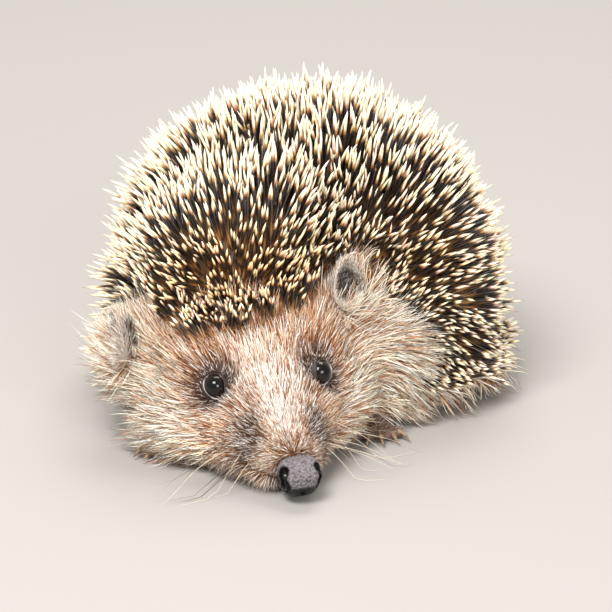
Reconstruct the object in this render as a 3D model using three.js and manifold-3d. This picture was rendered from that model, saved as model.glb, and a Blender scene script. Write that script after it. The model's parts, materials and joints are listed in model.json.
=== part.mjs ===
// A European hedgehog, life size, crouching with its snout just above the floor.
// Millimetres, +Z up, the nose towards -Y. Each solid reaches out to the tips of the coat that grows on it.
import * as THREE from "three";
import { mergeVertices } from "three/addons/utils/BufferGeometryUtils.js";
import Module from "manifold-3d";

const wasm = await Module();
wasm.setup();

// ---------- driving dimensions ----------

const GAP = 0.3; // the cut between two neighbouring nodes

// The trunk is a dome over the skirt line, drawn in under it to a flat belly.
const TRUNK = {
  at: new THREE.Vector3(-0.5, 88, 20),
  half: 54.5, // at the skirt line
  ahead: 41,
  behind: 66,
  above: 61,
  below: 16.5,
  sway: 4, // how far the rump swings to the animal's left
  shoulders: 3, // roundness of the plan ahead: 2 is an ellipse, more is boxier
  rump: 2.1, // and behind
  roundness: 2.2,
  undersideRoundness: 6,
};
const COAT_EDGE_Z = 10; // where the quills stop and the belly fur begins

// The neck's collar of fur, and the cap of quills that comes forward between the ears.
const NECK = {
  at: new THREE.Vector3(-6, 64, 20),
  half: 44,
  ahead: 23,
  behind: 20,
  above: 27,
  below: 16,
  sway: 0,
  shoulders: 2.3,
  rump: 2.3,
  roundness: 2,
  undersideRoundness: 4,
};
const CROWN_EDGE_Z = 26; // its lowest quills
const CROWN = { at: new THREE.Vector3(-19, 63, 34), half: new THREE.Vector3(28, 36, 34) };

// The head, measured from the point midway between the eyes.
const EYES_AT = new THREE.Vector3(-9.2, 25.9, 22.2);
const HEAD_TURN = 16.5; // to the animal's left
const HEAD_DROP = 29.3;
const HEAD_ROLL = -3.3;
const SNOUT_CUT = 12; // where head and muzzle part, ahead of the eyes
const MOUTH = { corner: 9, cornerZ: -8.5, tipZ: -4.6 };
const EYE = { side: 12.4, z: 0, radius: 3.2 };
const NOSE = { ahead: 28, z: -2.1, half: new THREE.Vector3(5.4, 3.4, 5.2) };
const NOSTRIL = { side: 4, z: -3, half: new THREE.Vector3(1.2, 1.6, 2) };
const EAR = { half: new THREE.Vector3(6.2, 3.2, 9), wall: 1.2 };
const EARS_AT = { left: new THREE.Vector3(24.5, 22, 2), right: new THREE.Vector3(-28, 23, -1) };

// Sections of the head from the nose back: ahead of the eyes, half width, top and underside.
const HEAD_SECTIONS = [
  { ahead: 28, half: 4.8, top: 2.6, under: -6.5 },
  { ahead: 21, half: 8.8, top: 3.4, under: -11.8 },
  { ahead: 11, half: 14.5, top: 4.4, under: -17 },
  { ahead: 1, half: 22, top: 5.4, under: -22.5 },
  { ahead: -8, half: 29, top: 8.5, under: -26.5 },
  { ahead: -18, half: 32.5, top: 11.5, under: -25 },
  { ahead: -28, half: 32, top: 12, under: -20 },
  { ahead: -40, half: 24, top: 8, under: -12 },
];
const JOWLS = 0.3; // how much wider a section is low down than at its middle
const JOWL_ROUNDNESS = 3; // the lower half is boxier than an ellipse

const FORELEG = { radius: 6, top: 24, ankle: 7, heel: 6, lean: 20 };
const HINDLEG = { radius: 8, top: 26, ankle: 8, heel: 4, lean: 4 };
const FOREFOOT = { half: 5, length: 15, toe: 5, claw: 3.4 };
const HINDFOOT = { half: 5, length: 24, toe: 5.5, claw: 3.8 };
const FEET = {
  forefoot_left: { at: [17, 51], turn: 8 },
  forefoot_right: { at: [-33, 39], turn: -10 },
  hindfoot_left: { at: [36, 108], turn: 16 },
  hindfoot_right: { at: [-33, 106], turn: -14 },
};
const TAIL = { at: new THREE.Vector3(3, 146, 15), length: 20, radius: 4, drop: 22 };

// ---------- materials ----------

const finish = (color, roughness) => new THREE.MeshStandardMaterial({ color, roughness, metalness: 0 });
const QUILLS = finish(0x9a8a74, 0.7);
const FUR = finish(0xd8c0a0, 0.9);
const FACE = finish(0xc09a78, 0.9);
const LIMB = finish(0x8a6a58, 0.8);
const EARSKIN = finish(0x9a8e84, 0.8);
const NOSESKIN = finish(0x2e2826, 0.35);
const EYEBALL = finish(0x0a0908, 0.1);

// ---------- making solids ----------

const radians = THREE.MathUtils.degToRad;

// A closed three.js geometry as a solid that can be joined and cut.
function solid(geometry) {
  const bare = geometry.clone();
  bare.deleteAttribute("normal");
  bare.deleteAttribute("uv");
  const merged = mergeVertices(bare, 1e-4);
  const faces = new wasm.Mesh({
    numProp: 3,
    vertProperties: new Float32Array(merged.attributes.position.array),
    triVerts: new Uint32Array(merged.index.array),
  });
  return new wasm.Manifold(faces);
}

// A solid as a named mesh of its material.
function node(name, made, material) {
  const found = made.getMesh();
  const indexed = new THREE.BufferGeometry();
  indexed.setAttribute("position", new THREE.BufferAttribute(found.vertProperties, 3));
  indexed.setIndex(new THREE.BufferAttribute(found.triVerts, 1));
  const geometry = indexed.toNonIndexed();
  geometry.computeVertexNormals();
  const mesh = new THREE.Mesh(geometry, material);
  mesh.name = name;
  return mesh;
}

// A ball of unit radius whose every point is moved by shape(point).
function shapedBall(around, along, shape) {
  const geometry = new THREE.SphereGeometry(1, around, along);
  const places = geometry.attributes.position;
  const point = new THREE.Vector3();
  for (let i = 0; i < places.count; i++) {
    shape(point.fromBufferAttribute(places, i));
    places.setXYZ(i, point.x, point.y, point.z);
  }
  return geometry;
}

// An ellipsoid with its half sizes, grown by some millimetres.
function ellipsoid(at, half, grow = 0, around = 20, along = 10) {
  const geometry = new THREE.SphereGeometry(1, around, along);
  geometry.scale(half.x + grow, half.y + grow, half.z + grow);
  return geometry.translate(at.x, at.y, at.z);
}

// A rod with round ends between two points.
function limb(from, to, radius, grow = 0, around = 8) {
  const along = new THREE.Vector3().subVectors(to, from);
  const geometry = new THREE.CapsuleGeometry(radius + grow, along.length(), 1 + Math.round(around / 8), around);
  const turn = new THREE.Quaternion().setFromUnitVectors(
    new THREE.Vector3(0, 1, 0),
    along.clone().normalize(),
  );
  const middle = from.clone().lerp(to, 0.5);
  return geometry.applyQuaternion(turn).translate(middle.x, middle.y, middle.z);
}

// A block between two corners.
function block(low, high) {
  const size = high.map((value, i) => value - low[i]);
  const geometry = new THREE.BoxGeometry(...size);
  return geometry.translate(...low.map((value, i) => value + size[i] / 2));
}

const FAR = 300; // past the whole animal
const above = (z) => solid(block([-FAR, -FAR, z], [FAR, FAR, FAR]));
const below = (z) => solid(block([-FAR, -FAR, -FAR], [FAR, FAR, z]));

// ---------- trunk, neck and crown ----------

// A dome over a flatter underside, grown by some millimetres.
function dome(size, grow, around, along) {
  const geometry = shapedBall(around, along, (p) => {
    const plan = p.y < 0 ? size.shoulders : size.rump;
    const out = (Math.abs(p.x) ** plan + Math.abs(p.y) ** plan) ** (1 / plan);
    const power = p.z > 0 ? size.roundness : size.undersideRoundness;
    p.multiplyScalar((out ** power + Math.abs(p.z) ** power) ** (-1 / power));
    p.x = size.at.x + (size.half + grow) * p.x + size.sway * Math.max(p.y, 0);
    p.y = size.at.y + ((p.y < 0 ? size.ahead : size.behind) + grow) * p.y;
    p.z = size.at.z + ((p.z < 0 ? size.below : size.above) + grow) * p.z;
  });
  return solid(geometry);
}

// ---------- head ----------

// The head's section at a distance ahead of the eyes.
function sectionAt(ahead) {
  const rows = HEAD_SECTIONS;
  let i = 0;
  while (i < rows.length - 2 && ahead < rows[i + 1].ahead) i++;
  const [a, b] = [rows[i], rows[i + 1]];
  const share = THREE.MathUtils.clamp((a.ahead - ahead) / (a.ahead - b.ahead), 0, 1);
  const mix = (size) => THREE.MathUtils.lerp(a[size], b[size], share);
  return { half: mix("half"), middle: (mix("top") + mix("under")) / 2, tall: (mix("top") - mix("under")) / 2 };
}

// The whole head from nose to nape, closed with round ends.
function headGeometry(grow = 0) {
  const front = HEAD_SECTIONS[0].ahead + grow;
  const back = HEAD_SECTIONS.at(-1).ahead - grow;
  return shapedBall(24, 15, (p) => {
    const share = Math.acos(THREE.MathUtils.clamp(-p.y, -1, 1)) / Math.PI;
    const ahead = THREE.MathUtils.lerp(front, back, share);
    const closing = Math.min(1, Math.sqrt(Math.min(share / 0.05, (1 - share) / 0.14)));
    const ring = Math.max(Math.hypot(p.x, p.z), 1e-9);
    const section = sectionAt(ahead);
    const [across, up] = [p.x / ring, p.z / ring];
    const power = up < 0 ? JOWL_ROUNDNESS : 2;
    const sum = Math.max(Math.abs(across) ** power + Math.abs(up) ** power, 1e-9);
    const reach = closing * sum ** (-1 / power);
    const half = section.half * (1 - JOWLS * up) + grow;
    p.set(across * half * reach, -ahead, section.middle + up * (section.tall + grow) * reach);
  });
}

const headPlace = new THREE.Matrix4().compose(
  EYES_AT,
  new THREE.Quaternion().setFromEuler(
    new THREE.Euler(radians(HEAD_DROP), radians(HEAD_ROLL), radians(HEAD_TURN), "ZXY"),
  ),
  new THREE.Vector3(1, 1, 1),
);

const eyeAt = (side) => new THREE.Vector3(side * EYE.side, 0, EYE.z);
const eyeball = (side, grow = 0) => {
  const size = EYE.radius + grow;
  return ellipsoid(eyeAt(side), new THREE.Vector3(size, size, size), 0, 12, 8);
};

const noseAt = new THREE.Vector3(0, -NOSE.ahead, NOSE.z);

function noseSolid() {
  let made = solid(ellipsoid(noseAt, NOSE.half, 0, 14, 9));
  for (const side of [-1, 1]) {
    const at = new THREE.Vector3(side * NOSTRIL.side, -NOSE.ahead - 1.6, NOSTRIL.z);
    made = made.subtract(solid(ellipsoid(at, NOSTRIL.half, 0, 7, 5)));
  }
  return made;
}

// An ear is a cupped ellipsoid, hollow side forward and turned out.
function earGeometries(label, grow = 0) {
  const at = EARS_AT[label];
  const side = Math.sign(at.x);
  const place = new THREE.Matrix4().compose(
    at,
    new THREE.Quaternion().setFromEuler(new THREE.Euler(radians(8), radians(side * 8), radians(side * 28))),
    new THREE.Vector3(1, 1, 1),
  );
  const centre = new THREE.Vector3();
  const hollow = EAR.half.clone().subScalar(EAR.wall);
  return {
    outer: ellipsoid(centre, EAR.half, grow, 14, 9).applyMatrix4(place),
    hollow: ellipsoid(new THREE.Vector3(0, -2.6, 0.4), hollow, 0, 14, 9).applyMatrix4(place),
  };
}

// ---------- feet and tail ----------

// One foot: a pad, toes and claws, flat underneath.
function footSolid(size, spot, grow = 0) {
  const { half, length, toe, claw } = size;
  const pad = new THREE.Vector3(half, length * 0.5, 4);
  const pieces = [ellipsoid(new THREE.Vector3(0, length * 0.1, 2.2), pad, grow, 8, 6)];
  for (let i = -2; i <= 2; i++) {
    const spread = radians(i * 15);
    const root = new THREE.Vector3(i * half * 0.36, -length * 0.3, 0);
    const reach = toe * (1 - 0.09 * i * i);
    const toeHalf = new THREE.Vector3(1.6, reach * 0.8, 1.9);
    const toeBall = ellipsoid(new THREE.Vector3(0, -reach * 0.4, 1.5), toeHalf, grow, 5, 4);
    const clawCone = new THREE.ConeGeometry(0.9 + grow, claw + 2, 3).rotateX(Math.PI);
    clawCone.rotateX(radians(8)).translate(0, -reach - claw * 0.5, 1.2);
    for (const piece of [toeBall, clawCone]) {
      pieces.push(piece.rotateZ(spread).translate(root.x, root.y, root.z));
    }
  }
  const place = new THREE.Matrix4()
    .makeRotationZ(radians(spot.turn))
    .setPosition(spot.at[0], spot.at[1], 0);
  return pieces
    .map((piece) => solid(piece.applyMatrix4(place)))
    .reduce((a, b) => a.add(b))
    .intersect(above(0));
}

function legSolid(size, spot, grow = 0) {
  const [x, y] = spot.at;
  const ankle = new THREE.Vector3(x, y + size.heel, size.ankle);
  const hip = new THREE.Vector3(x - Math.sign(x) * 4, y + size.lean, size.top);
  return solid(limb(ankle, hip, size.radius, grow, 10));
}

function tailSolid(grow = 0) {
  const geometry = shapedBall(10, 8, (p) => {
    const slim = 1 - 0.35 * (p.y + 1) * 0.5;
    p.set(p.x * (TAIL.radius * slim + grow), (p.y * TAIL.length) / 2, p.z * (TAIL.radius * slim + grow));
  });
  geometry.rotateX(radians(-TAIL.drop));
  return solid(geometry.translate(TAIL.at.x, TAIL.at.y, TAIL.at.z));
}

// ---------- parting the body into nodes ----------

const inBody = (geometry) => solid(geometry.applyMatrix4(headPlace));
const hedgehog = new THREE.Group();
const head = new THREE.Group();
head.applyMatrix4(headPlace);
hedgehog.add(head);

// The head's own pieces, in the head's frame.
const nose = noseSolid();
const noseRoom = solid(ellipsoid(noseAt, NOSE.half, GAP, 14, 9));
let skull = solid(headGeometry()).subtract(noseRoom);
for (const side of [-1, 1]) skull = skull.subtract(solid(eyeball(side, GAP)));

const ahead = solid(block([-FAR, -FAR, -FAR], [FAR, -SNOUT_CUT - GAP / 2, FAR]));
const behind = solid(block([-FAR, -SNOUT_CUT + GAP / 2, -FAR], [FAR, FAR, FAR]));
const snout = skull.intersect(ahead);
const mouthSlope = Math.atan2(MOUTH.tipZ - MOUTH.cornerZ, NOSE.ahead - MOUTH.corner);
const lipPlane = (low, high) =>
  solid(block([-FAR, -FAR, low], [FAR, FAR, high]).rotateX(-mouthSlope).translate(0, -NOSE.ahead, MOUTH.tipZ));
head.add(node("head", skull.intersect(behind), FACE));
head.add(node("muzzle", snout.intersect(lipPlane(GAP / 2, FAR)), FACE));
head.add(node("lower_jaw", snout.intersect(lipPlane(-FAR, -GAP / 2)), FACE));
head.add(node("nose", nose, NOSESKIN));

const SIDES = { left: 1, right: -1 };
const headInHeadFrame = solid(headGeometry(GAP));
const earRoom = [];
for (const [label, side] of Object.entries(SIDES)) {
  head.add(node(`eye_${label}`, solid(eyeball(side)), EYEBALL));
  const ear = earGeometries(label);
  const cup = solid(ear.outer).subtract(solid(ear.hollow)).subtract(headInHeadFrame);
  const parts = cup.decompose().sort((a, b) => b.volume() - a.volume());
  head.add(node(`ear_${label}`, parts[0], EARSKIN));
  earRoom.push(inBody(earGeometries(label, GAP).outer));
}

// The body's pieces, each cut back from those before it.
const headRoom = inBody(headGeometry(GAP));
const cut = (made, rooms) => rooms.reduce((left, room) => left.subtract(room), made);
const largest = (made) => made.decompose().sort((a, b) => b.volume() - a.volume())[0];

const legs = {};
const legRooms = [];
for (const [name, spot] of Object.entries(FEET)) {
  const fore = name.startsWith("fore");
  const footSize = fore ? FOREFOOT : HINDFOOT;
  const legSize = fore ? FORELEG : HINDLEG;
  const foot = footSolid(footSize, spot);
  const footRoom = footSolid(footSize, spot, GAP);
  const leg = largest(legSolid(legSize, spot).subtract(footRoom).intersect(above(1)));
  legs[name] = foot;
  legs[name.replace("foot", "leg")] = leg;
  legRooms.push(footRoom, legSolid(legSize, spot, GAP));
}
const headRooms = [headRoom, ...earRoom];
for (const [name, made] of Object.entries(legs)) {
  hedgehog.add(node(name, largest(cut(made, headRooms)), LIMB));
}

const crownBall = solid(ellipsoid(CROWN.at, CROWN.half)).intersect(above(CROWN_EDGE_Z));
const crown = largest(cut(crownBall, [...headRooms, ...legRooms]));
const crownRoom = solid(ellipsoid(CROWN.at, CROWN.half, GAP)).intersect(above(CROWN_EDGE_Z - GAP));
const neck = largest(cut(dome(NECK, 0, 22, 11), [...headRooms, ...legRooms, crownRoom]));
const neckRoom = dome(NECK, GAP, 22, 11);
const tail = tailSolid();
const trunkRooms = [...headRooms, ...legRooms, crownRoom, neckRoom, tailSolid(GAP)];
const trunk = cut(dome(TRUNK, 0, 30, 14), trunkRooms);
hedgehog.add(node("crown", crown, QUILLS));
hedgehog.add(node("neck", neck, FUR));
hedgehog.add(node("back", largest(trunk.intersect(above(COAT_EDGE_Z + GAP / 2))), QUILLS));
hedgehog.add(node("belly", largest(trunk.intersect(below(COAT_EDGE_Z - GAP / 2))), FUR));
hedgehog.add(node("tail", tail, LIMB));

// The origin is on the floor under the middle of the whole animal.
const bounds = new THREE.Box3().setFromObject(hedgehog, true);
const middle = bounds.getCenter(new THREE.Vector3());
hedgehog.position.set(-middle.x, -middle.y, -bounds.min.z);

export default hedgehog;
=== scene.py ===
# A young European hedgehog, life size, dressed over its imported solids. Metres, +Z up, nose towards -Y.
import json
import math

import bpy
import numpy as np
from mathutils import Matrix, Vector
from mathutils.bvhtree import BVHTree
from mathutils.kdtree import KDTree

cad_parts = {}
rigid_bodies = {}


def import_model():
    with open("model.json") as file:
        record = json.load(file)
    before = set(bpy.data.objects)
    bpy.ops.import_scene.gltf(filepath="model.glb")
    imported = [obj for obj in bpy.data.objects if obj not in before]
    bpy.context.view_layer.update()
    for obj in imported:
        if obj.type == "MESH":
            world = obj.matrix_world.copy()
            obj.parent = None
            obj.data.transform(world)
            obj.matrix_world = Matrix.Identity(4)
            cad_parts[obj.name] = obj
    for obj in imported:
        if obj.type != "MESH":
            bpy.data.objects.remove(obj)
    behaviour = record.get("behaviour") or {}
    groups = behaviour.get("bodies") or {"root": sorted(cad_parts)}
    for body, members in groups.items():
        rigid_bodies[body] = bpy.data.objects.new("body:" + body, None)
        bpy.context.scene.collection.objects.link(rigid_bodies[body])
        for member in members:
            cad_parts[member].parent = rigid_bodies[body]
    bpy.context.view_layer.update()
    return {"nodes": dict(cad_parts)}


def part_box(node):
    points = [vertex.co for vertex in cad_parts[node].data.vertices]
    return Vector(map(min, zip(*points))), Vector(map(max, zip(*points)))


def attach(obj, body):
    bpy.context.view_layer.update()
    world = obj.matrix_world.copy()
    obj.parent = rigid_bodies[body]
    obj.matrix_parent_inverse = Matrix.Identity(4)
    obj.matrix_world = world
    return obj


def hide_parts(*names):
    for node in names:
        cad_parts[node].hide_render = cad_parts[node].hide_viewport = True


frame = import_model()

MM = 0.001

# ---------------- camera, floor and light
# A long lens looks down a little at the face, over a plain pale floor. The light is soft: a pale
# room, a lamp high in front like a window, one overhead and behind, and a weak low one in front.
CAMERA_AT = (0.5 * MM, -726.8 * MM, 260 * MM)
CAMERA_DOWN = 18
LENS = 177.1
SENSOR = 36
FLOOR_HALF = 12
FLOOR_TONE = (0.385, 0.36, 0.335, 1)
ROOM_TONE = (1.0, 0.985, 0.97, 1)


def newest():
    """The object that was just added."""
    return bpy.context.active_object


bpy.ops.object.camera_add(location=CAMERA_AT, rotation=(math.radians(90 - CAMERA_DOWN), 0, 0))
camera = newest()
camera.data.lens = LENS
camera.data.sensor_width = SENSOR
camera.data.clip_start = 0.01
bpy.context.scene.camera = camera


def plain_material(name, roughness, tone=(1, 1, 1, 1)):
    """A new material, with its nodes, its links and its shader."""
    material = bpy.data.materials.new(name)
    material.use_nodes = True
    nodes = material.node_tree.nodes
    shader = nodes["Principled BSDF"]
    shader.inputs["Base Color"].default_value = tone
    shader.inputs["Roughness"].default_value = roughness
    return material, nodes, material.node_tree.links, shader


bpy.ops.mesh.primitive_plane_add(size=2 * FLOOR_HALF, location=(0, 0, 0))
floor = newest()
floor.name = "floor"
floor_material, _, _, floor_shader = plain_material("pale_floor", 1, FLOOR_TONE)
floor_shader.inputs["Specular IOR Level"].default_value = 0
floor.data.materials.append(floor_material)

room = bpy.data.worlds.new("pale_room")
bpy.context.scene.world = room
room.use_nodes = True
room.node_tree.nodes["Background"].inputs["Color"].default_value = ROOM_TONE
room.node_tree.nodes["Background"].inputs["Strength"].default_value = 0.5
bpy.context.scene.view_settings.view_transform = "Standard"


def soft_lamp(name, at, size, watts):
    """A square area lamp that looks at the animal."""
    bpy.ops.object.light_add(type="AREA", location=at)
    lamp = newest()
    lamp.name = name
    lamp.data.size = size
    lamp.data.energy = watts
    lamp.rotation_euler = (Vector((0, 0, 0.04)) - Vector(at)).to_track_quat("-Z", "Y").to_euler()


soft_lamp("lamp_window", (-0.32, -0.66, 0.98), 0.5, 18)
soft_lamp("lamp_overhead", (0.1, 0.72, 1.15), 0.8, 15)
soft_lamp("lamp_front", (0.45, -1.1, 0.45), 0.5, 8)

# ---------------- skin
# One hide from nose to tail, shaped over the flesh and drawn in under the coat by its depth:
# thin on the face, ears and feet, 11 mm under the quills. Thin ear shells, lids and toes are
# fused into it, the mouth is pressed in, and its colours are the coat's own, darkened as painted
# shade where the skin shows between the hairs.
FLESH = [n for n in frame["nodes"] if n != "nose" and not n.startswith("eye")]
FEET = ["forefoot_left", "forefoot_right", "hindfoot_left", "hindfoot_right"]
BODY_VOXEL = 0.8 * MM
HIDE_VOXEL = 0.62 * MM
HIDE_KEPT = 0.75  # the share of the hide's faces that stay
COAT_DEPTH = {  # millimetres from the tips of the coat down to the skin, for each node
    "back": 11.8, "crown": 10.5, "neck": 7.5, "belly": 3, "head": 1.4, "muzzle": 0.5,
    "lower_jaw": 1.2, "tail": 1.2, "foreleg": 2.5, "hindleg": 2.5, "forefoot": 0.2, "hindfoot": 0.2,
}
HEM_DEPTH = 9.5
CHEEK_DEPTH = 7.5
SINKS = 12


def middle_of(node):
    """The middle of a node's box, in millimetres."""
    low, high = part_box(node)
    return (np.array(low) + np.array(high)) / 2 / MM


def unit(v):
    """Vectors at length 1."""
    return v / np.maximum(np.linalg.norm(v, axis=-1, keepdims=True), 1e-9)


def ramp(x, low, high):
    """0 below low, 1 above high, and a smooth step between."""
    t = np.clip((x - low) / (high - low), 0, 1)
    return t * t * (3 - 2 * t)


# The head's own directions: across to its left, ahead to the nose, and up.
eye_middles = {side: middle_of(f"eye_{side}") for side in ("left", "right")}
between_eyes = (eye_middles["left"] + eye_middles["right"]) / 2
nose_middle = middle_of("nose")
ACROSS = unit(eye_middles["left"] - eye_middles["right"])
AHEAD = nose_middle - between_eyes
AHEAD = unit(AHEAD - (AHEAD @ ACROSS) * ACROSS)
UP = np.cross(AHEAD, ACROSS)


def head_vector(across, ahead, up):
    """A direction or an offset on the head, in the model's own directions."""
    return across * ACROSS + ahead * AHEAD + up * UP


def on_head(points):
    """Points in millimetres as distances across, ahead and up from midway between the eyes."""
    offset = points - between_eyes
    return offset @ ACROSS, offset @ AHEAD, offset @ UP


def nearest_eye(points):
    """The distance to the nearer eye's middle, and the direction away from it."""
    offsets = [points - middle for middle in eye_middles.values()]
    lengths = [np.linalg.norm(o, axis=-1) for o in offsets]
    nearer = lengths[0] < lengths[1]
    away = np.where(nearer[:, None], offsets[0], offsets[1])
    return np.minimum(*lengths), unit(away)


def select_only(*objects):
    """These objects alone are selected, and the first is active."""
    bpy.ops.object.select_all(action="DESELECT")
    for o in objects:
        o.select_set(True)
    bpy.context.view_layer.objects.active = objects[0]


def joined(*objects):
    """The objects made one, which is the first."""
    select_only(*objects)
    bpy.ops.object.join()
    return objects[0]


def rows_of(items, what, width, kind=np.float32):
    """One property of all a mesh's items of one sort, as rows of this width."""
    values = np.empty(len(items) * width, kind)
    items.foreach_get(what, values)
    return values.reshape(-1, width)


def points_of(mesh, what="co"):
    """The vertices' places or normals, as rows."""
    return rows_of(mesh.vertices, what, 3).astype(float)


def tree_of(points):
    """A tree that finds the nearest of these points."""
    tree = KDTree(len(points))
    for i, point in enumerate(points):
        tree.insert(point, i)
    tree.balance()
    return tree


def apply_modifier(piece, kind, **settings):
    """Adds one modifier with these settings and applies it."""
    modifier = piece.modifiers.new(kind.lower(), kind)
    for key, value in settings.items():
        setattr(modifier, key, value)
    select_only(piece)
    bpy.ops.object.modifier_apply(modifier=modifier.name)


def leave_edit():
    """Goes back to object mode."""
    bpy.ops.object.mode_set(mode="OBJECT")


def pick(piece, test):
    """Goes into edit mode with only the vertices selected whose places in millimetres pass the test."""
    select_only(piece)
    bpy.ops.object.mode_set(mode="EDIT")
    bpy.ops.mesh.select_mode(type="VERT")
    bpy.ops.mesh.select_all(action="DESELECT")
    leave_edit()
    piece.data.vertices.foreach_set("select", test(points_of(piece.data) / MM))
    bpy.ops.object.mode_set(mode="EDIT")


def stand(piece, at, x_way, y_way, z_way):
    """Takes a piece made at the origin to its place in millimetres, its directions turned to these."""
    matrix = np.eye(4)
    matrix[:3, :3] = np.column_stack([x_way, y_way, z_way])
    matrix[:3, 3] = np.array(at) * MM
    select_only(piece)
    piece.matrix_world = Matrix(matrix.tolist()) @ piece.matrix_world
    bpy.ops.object.transform_apply(location=True, rotation=True, scale=True)


def duplicate(piece):
    """A copy of a piece with its own mesh."""
    copy = piece.copy()
    copy.data = piece.data.copy()
    bpy.context.collection.objects.link(copy)
    return copy


def copy_of(node):
    """A loose copy of a node's solid, its triangles joined up."""
    copy = duplicate(frame["nodes"][node])
    pick(copy, lambda places: np.ones(len(places), bool))
    bpy.ops.mesh.remove_doubles(threshold=1e-6)
    leave_edit()
    return copy


flesh = [n for n in FLESH if not n.startswith("ear")]
parts = [copy_of(name) for name in flesh]
face_owner = np.repeat(flesh, [len(p.data.polygons) for p in parts])
skin = joined(*parts)
skin.name = "skin"
skin.data.materials.clear()
flesh_tree = BVHTree.FromObject(skin, bpy.context.evaluated_depsgraph_get())
apply_modifier(skin, "REMESH", mode="VOXEL", voxel_size=BODY_VOXEL)

# Bubbles left inside the cuts go: only the surface that the top of the back is on stays.
top = points_of(skin.data)[:, 2].max() / MM
pick(skin, lambda places: places[:, 2] >= top - 1e-4)
bpy.ops.mesh.select_linked()
bpy.ops.mesh.select_all(action="INVERT")
bpy.ops.mesh.delete(type="VERT")
leave_edit()

outer = points_of(skin.data)
owner = np.array([face_owner[flesh_tree.find_nearest(Vector(p))[2]] for p in outer])


def coat_depth(points, normals, owner):
    """How far the skin lies under the tips of the coat, in millimetres."""
    across, ahead, up = on_head(points)
    depth = np.zeros(len(points))
    for part, value in COAT_DEPTH.items():
        depth[np.char.startswith(owner, part)] = value
    hem = (owner == "belly") * ramp(1 + normals[:, 2], 0.1, 0.6)
    depth += hem * (HEM_DEPTH - depth)
    cheek = ramp(-ahead, -4, 14) * ramp(-up, 0, 14) + ramp(np.abs(across), 17, 28) * ramp(-ahead, 0, 12)
    cheek *= owner == "head"
    depth += np.clip(cheek, 0, 1) * (CHEEK_DEPTH - depth)
    eye_gap, _ = nearest_eye(points)
    return np.where(eye_gap < 6, np.minimum(depth, 0.5), depth)


def blurred(piece, values, rounds):
    """Each vertex's value averaged with its neighbours', several times."""
    ends = rows_of(piece.data.edges, "vertices", 2, np.int32)
    count = len(values)
    links = np.bincount(ends.ravel(), minlength=count)
    for _ in range(rounds):
        sums = np.bincount(ends[:, 0], values[ends[:, 1]], count)
        sums += np.bincount(ends[:, 1], values[ends[:, 0]], count)
        values = 0.5 * values + 0.5 * sums / links
    return values


def vertex_group(piece, name, weights):
    """A vertex group with one weight for each vertex, to a hundredth."""
    group = piece.vertex_groups.new(name=name)
    steps = np.round(np.clip(weights, 0, 1) * 100).astype(int)
    for step in np.unique(steps):
        if step > 0:
            group.add(np.flatnonzero(steps == step).tolist(), step / 100, "REPLACE")


depth = blurred(skin, coat_depth(outer / MM, points_of(skin.data, "normal"), owner), 25)
deepest = max(COAT_DEPTH.values())
vertex_group(skin, "depth", depth / deepest)
vertex_group(skin, "relax", 0.06 + 0.94 * ramp(depth, 1, 5))
apply_modifier(skin, "SMOOTH", factor=0.5, iterations=40, vertex_group="relax")
for _ in range(SINKS):
    apply_modifier(skin, "DISPLACE", strength=-deepest * MM / SINKS, mid_level=0, vertex_group="depth")
    apply_modifier(skin, "SMOOTH", factor=0.5, iterations=16, vertex_group="relax")

# Ears: a thin egg-shaped cup on a short root. The left one opens forwards and up, and the right
# one is turned out to the side and set lower.
EAR_HALF = (3.9, 6.4, 3.0)
EAR_WALL = 0.95
EAR_OPEN = {"ear_left": (0.29, 0.67, 0.65), "ear_right": (-0.95, -0.12, -0.02)}
EAR_TALL = (-0.02, -0.74, 0.67)
EAR_ROOT_HALF = (2.2, 2.8, 2.8)
EAR_ROOT_AT = (-1.8, 1.5, -4.6)
EAR_REACH = 6  # skin nearer than this to an ear's middle is the ear's
EAR_SHIFT = {"ear_left": (0, 0, 0), "ear_right": (-2.2, 1.0, -4.6)}


def ear(side, name):
    """One ear shell and the root under it, at the node's place; side is 1 on the left."""
    bpy.ops.mesh.primitive_uv_sphere_add(segments=40, ring_count=24, radius=MM)
    shell = newest()
    pick(shell, lambda places: places[:, 2] > 0.25)
    bpy.ops.mesh.delete(type="VERT")
    bpy.ops.mesh.select_all(action="SELECT")
    bpy.ops.transform.resize(value=EAR_HALF)
    bpy.ops.mesh.normals_make_consistent(inside=False)
    leave_edit()
    apply_modifier(shell, "SIMPLE_DEFORM", deform_method="TAPER", factor=-0.35, deform_axis="Y")
    apply_modifier(shell, "SOLIDIFY", thickness=EAR_WALL * MM, offset=0, use_even_offset=True)
    bpy.ops.mesh.primitive_uv_sphere_add(segments=24, ring_count=16, radius=MM)
    root = newest()
    root.scale = EAR_ROOT_HALF
    middle = middle_of(name) + EAR_SHIFT[name]
    stand(root, middle + head_vector(side * EAR_ROOT_AT[0], *EAR_ROOT_AT[1:]), ACROSS, AHEAD, UP)
    opening = unit(head_vector(*EAR_OPEN[name]))
    tall = head_vector(side * EAR_TALL[0], *EAR_TALL[1:])
    tall = unit(tall - (tall @ opening) * opening)
    stand(shell, middle, np.cross(tall, opening), tall, opening)
    return shell, root


def ear_gap(points):
    """The distance in millimetres to the middle of the nearer ear."""
    gaps = [np.linalg.norm(points - middle_of(e) - EAR_SHIFT[e], axis=1) for e in EAR_OPEN]
    return np.min(gaps, axis=0)


# Lids: a thin wall over each eye with an almond opening, drawn out to a corner towards the nose.
EYE_RADIUS = 3.25
LID_RADIUS = 3.72
LID_INSIDE = 3.3
OPENING_HALF = (3.2, 2.6)
CORNER_DRAWN = 1.25
CORNER_SPAN = 0.75
EYE_LOOK = {"left": (0.48, 0.52, 0.70), "right": (-0.42, 0.45, 0.79)}


def eye_ways(side):
    """An eye's own directions: to its nose-side corner, to the brow, and its gaze."""
    gaze = unit(head_vector(*EYE_LOOK[side]))
    corner = unit(AHEAD - (AHEAD @ gaze) * gaze)
    return corner, np.cross(gaze, corner), gaze


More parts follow.
